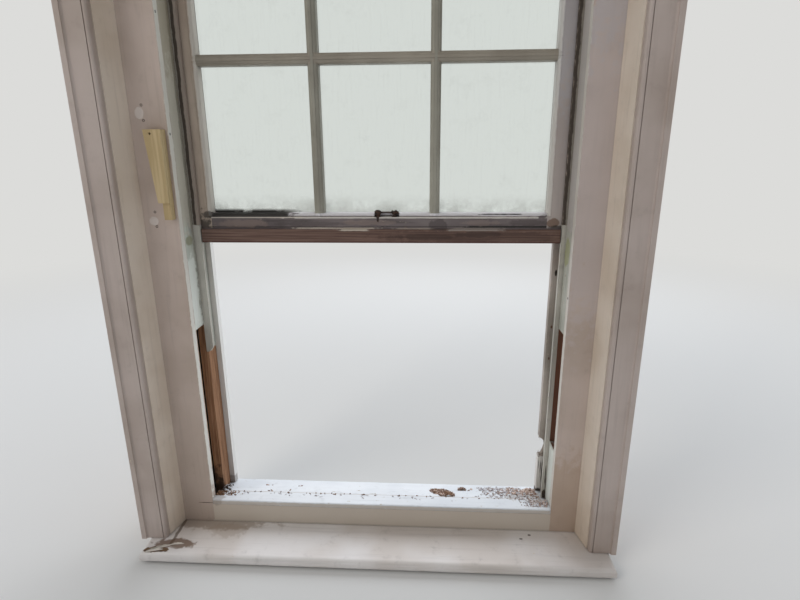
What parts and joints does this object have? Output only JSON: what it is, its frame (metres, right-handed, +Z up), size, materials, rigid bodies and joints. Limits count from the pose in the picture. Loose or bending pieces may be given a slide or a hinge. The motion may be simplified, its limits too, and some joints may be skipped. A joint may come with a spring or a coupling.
{
  "type": "sash window",
  "caption": "Old box sash window without its lower sash: cased frame with linings, sill, board and architraves, and a counterweighted upper sash with glazing bars.",
  "frame": {"origin": "middle of the sill's underside", "axes": "+X to the right seen from the room, +Y from the room to the outside, +Z up"},
  "size_m": [1.21, 0.28, 1.739],
  "materials": {
    "painted_wood": "worn off-white gloss paint on softwood",
    "bare_wood": "bare aged softwood",
    "pale_wood": "fresh bare pine",
    "glass": "clear old sheet glass",
    "putty": "painted linseed putty",
    "iron": "dark rusted iron",
    "brass": "dull brass"
  },
  "bodies": {
    "frame": {"architrave_head": "painted_wood", "architrave_left": "painted_wood", "architrave_right": "painted_wood", "back_lining_left": "bare_wood", "back_lining_right": "bare_wood", "head": "bare_wood", "head_inner_lining": "painted_wood", "head_outer_lining": "painted_wood", "inner_lining_left": "painted_wood", "inner_lining_right": "painted_wood", "outer_lining_left": "painted_wood", "outer_lining_right": "painted_wood", "packing_block_lower": "pale_wood", "packing_block_upper": "pale_wood", "parting_bead_head": "painted_wood", "parting_bead_left": "painted_wood", "parting_bead_right": "painted_wood", "parting_slip_left": "bare_wood", "parting_slip_right": "bare_wood", "pulley_case_front_left": "iron", "pulley_case_front_right": "iron", "pulley_case_rear_left": "iron", "pulley_case_rear_right": "iron", "pulley_pins": "iron", "pulley_screws": "iron", "pulley_stile_left": "painted_wood", "pulley_stile_right": "painted_wood", "reveal_lining_left": "painted_wood", "reveal_lining_right": "painted_wood", "sill": "painted_wood", "slip_pegs": "bare_wood", "soffit_lining": "painted_wood", "window_board": "painted_wood"},
    "upper_sash": {"cross_bar_1": "painted_wood", "cross_bar_2": "painted_wood", "cross_bar_3": "painted_wood", "fastener_keeper": "iron", "glazing_bar_1": "painted_wood", "glazing_bar_2": "painted_wood", "pane_row1_1": "glass", "pane_row1_2": "glass", "pane_row1_3": "glass", "pane_row2_1": "glass", "pane_row2_2": "glass", "pane_row2_3": "glass", "putty_beads": "putty", "sash_meeting_rail": "painted_wood", "sash_stile_left": "painted_wood", "sash_stile_right": "painted_wood", "sash_top_rail": "painted_wood"},
    "weight_left": {"sash_weight_left": "iron"},
    "wheel_front_left": {"pulley_wheel_front_left": "brass"},
    "wheel_rear_left": {"pulley_wheel_rear_left": "brass"},
    "weight_right": {"sash_weight_right": "iron"},
    "wheel_front_right": {"pulley_wheel_front_right": "brass"},
    "wheel_rear_right": {"pulley_wheel_rear_right": "brass"}
  },
  "joints": [
    {"name": "upper_sash_slide", "type": "slide", "parent": "frame", "child": "upper_sash", "axis": [0, 0, 1], "range_m": [-0.7, 0]},
    {"name": "weight_left_slide", "type": "slide", "parent": "frame", "child": "weight_left", "axis": [0, 0, 1], "range_m": [0, 0.7]},
    {"name": "wheel_front_left_spin", "type": "hinge", "parent": "frame", "child": "wheel_front_left", "pos_m": [-0.466, -0.031, 1.48], "axis": [0, 1, 0], "continuous": true},
    {"name": "wheel_rear_left_spin", "type": "hinge", "parent": "frame", "child": "wheel_rear_left", "pos_m": [-0.466, 0.0272, 1.48], "axis": [0, 1, 0], "range_deg": [0, 1870]},
    {"name": "weight_right_slide", "type": "slide", "parent": "frame", "child": "weight_right", "axis": [0, 0, 1], "range_m": [0, 0.7]},
    {"name": "wheel_front_right_spin", "type": "hinge", "parent": "frame", "child": "wheel_front_right", "pos_m": [0.466, -0.031, 1.48], "axis": [0, 1, 0], "continuous": true},
    {"name": "wheel_rear_right_spin", "type": "hinge", "parent": "frame", "child": "wheel_rear_right", "pos_m": [0.466, 0.0272, 1.48], "axis": [0, 1, 0], "range_deg": [-1870, 0]}
  ],
  "couplings": [
    {"joint": "weight_left_slide", "follows": "upper_sash_slide", "ratio": -1},
    {"joint": "wheel_rear_left_spin", "follows": "upper_sash_slide", "rad_per_m": -46.512},
    {"joint": "weight_right_slide", "follows": "upper_sash_slide", "ratio": -1},
    {"joint": "wheel_rear_right_spin", "follows": "upper_sash_slide", "rad_per_m": 46.512}
  ]
}
